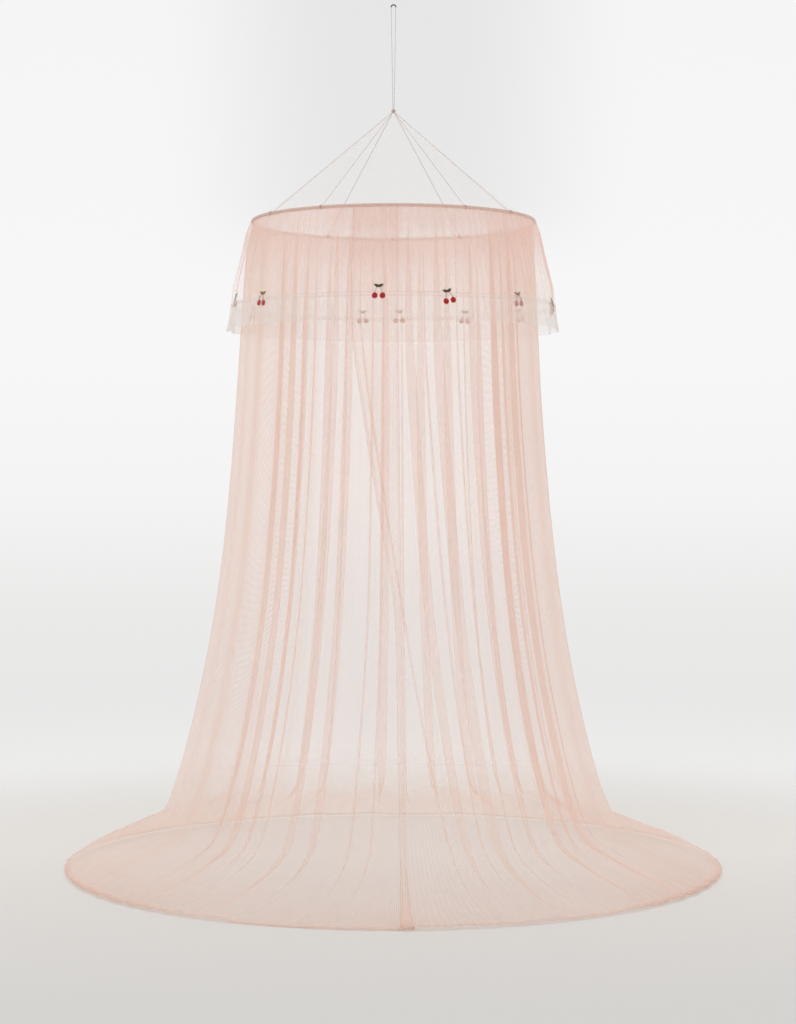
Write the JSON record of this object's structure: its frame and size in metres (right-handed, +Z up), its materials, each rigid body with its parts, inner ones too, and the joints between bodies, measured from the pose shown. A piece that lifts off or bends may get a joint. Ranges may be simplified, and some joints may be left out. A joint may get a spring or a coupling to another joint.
{
  "type": "mosquito net canopy with hoop",
  "caption": "Round hanging bed canopy: corded hoop, sheer crown, long gathered net spreading on the floor, valance with ruffle and sewn cherry motifs.",
  "frame": {"origin": "point inside the top bend of the hanging loop where the ceiling hook bears", "axes": "+Z up along the canopy's hanging line, -Y towards the front opening, +X to the right seen from the front"},
  "size_m": [1.9716, 1.9036, 2.6033],
  "materials": {
    "loop_cord": "matt twisted cord",
    "sleeve": "satin",
    "knot": "matt",
    "suspension_cord": "matt twisted cord",
    "casing": "matt woven tape",
    "crown_tulle": "sheer tulle",
    "net_tulle": "sheer tulle",
    "valance_tulle": "sheer tulle",
    "ruffle_tulle": "sheer tulle",
    "cherry": "satin stitch"
  },
  "bodies": {
    "root": {"hanging_loop": "loop_cord", "loop_sleeve": "sleeve", "apex_knot": "knot", "suspension_cord_1": "suspension_cord", "suspension_cord_2": "suspension_cord", "suspension_cord_3": "suspension_cord", "suspension_cord_4": "suspension_cord", "suspension_cord_5": "suspension_cord", "suspension_cord_6": "suspension_cord", "hoop": "casing", "crown": "crown_tulle", "net": "net_tulle", "valance": "valance_tulle", "ruffle": "ruffle_tulle", "cherry_01": "cherry", "cherry_02": "cherry", "cherry_03": "cherry", "cherry_04": "cherry", "cherry_05": "cherry", "cherry_06": "cherry", "cherry_07": "cherry", "cherry_08": "cherry", "cherry_09": "cherry", "cherry_10": "cherry", "cherry_11": "cherry", "cherry_12": "cherry"}
  },
  "joints": []
}
